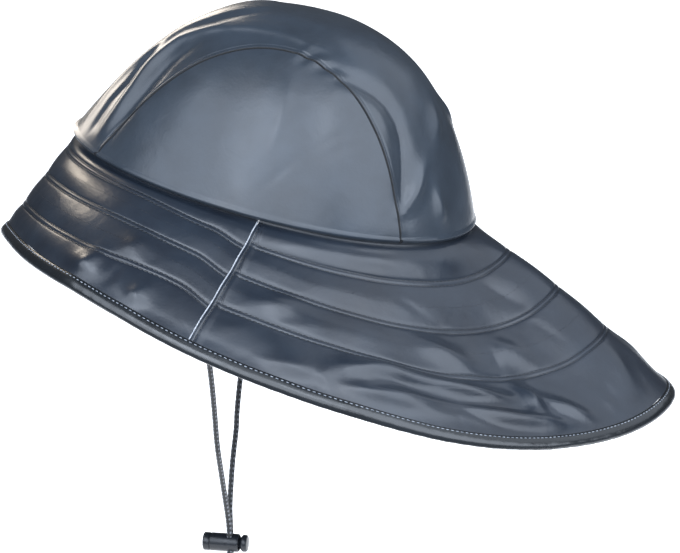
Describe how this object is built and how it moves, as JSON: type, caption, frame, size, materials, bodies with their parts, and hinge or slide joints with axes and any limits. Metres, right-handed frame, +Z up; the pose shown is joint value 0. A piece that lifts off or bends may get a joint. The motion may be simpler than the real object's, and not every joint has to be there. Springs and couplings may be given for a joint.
{
  "type": "sou wester rain hat",
  "caption": "Coated cloth rain hat with a domed crown, a short front and long back brim, a light piped side seam and a chin cord with a spring lock",
  "frame": {"origin": "the middle of the crown's base, in the plane of the lip, where the head carries the hat", "axes": "+Z is up as worn, the hat's front faces -Y, +X is the wearer's left; the crown's base plane is raised 12.8 degrees at the front, as in the picture"},
  "size_m": [0.3262, 0.3596, 0.3266],
  "materials": {
    "crown_cloth": "slate blue-grey polyurethane-coated cloth with a satin sheen",
    "brim_cloth": "the same coated cloth, seen darker, with double-stitched rows",
    "piping": "near-white piping",
    "cord": "braided round cord, black and grey yarns",
    "lock_plastic": "glossy black moulded plastic"
  },
  "bodies": {
    "hat": {"crown_centre_strip": "crown_cloth", "crown_side_panel_left": "crown_cloth", "crown_side_panel_right": "crown_cloth", "brim_front_panel": "brim_cloth", "brim_back_panel": "brim_cloth", "hem_band": "brim_cloth", "side_seam_piping_left": "piping", "side_seam_piping_right": "piping", "chin_cord": "cord", "cord_lock_barrel": "lock_plastic"},
    "plunger": {"cord_lock_plunger": "lock_plastic"}
  },
  "joints": [
    {"name": "plunger_press", "type": "slide", "parent": "hat", "child": "plunger", "axis": [0, -1, 0], "range_m": [0, 0.0012], "stiffness_N_per_m": 400, "springref_m": -0.004}
  ]
}
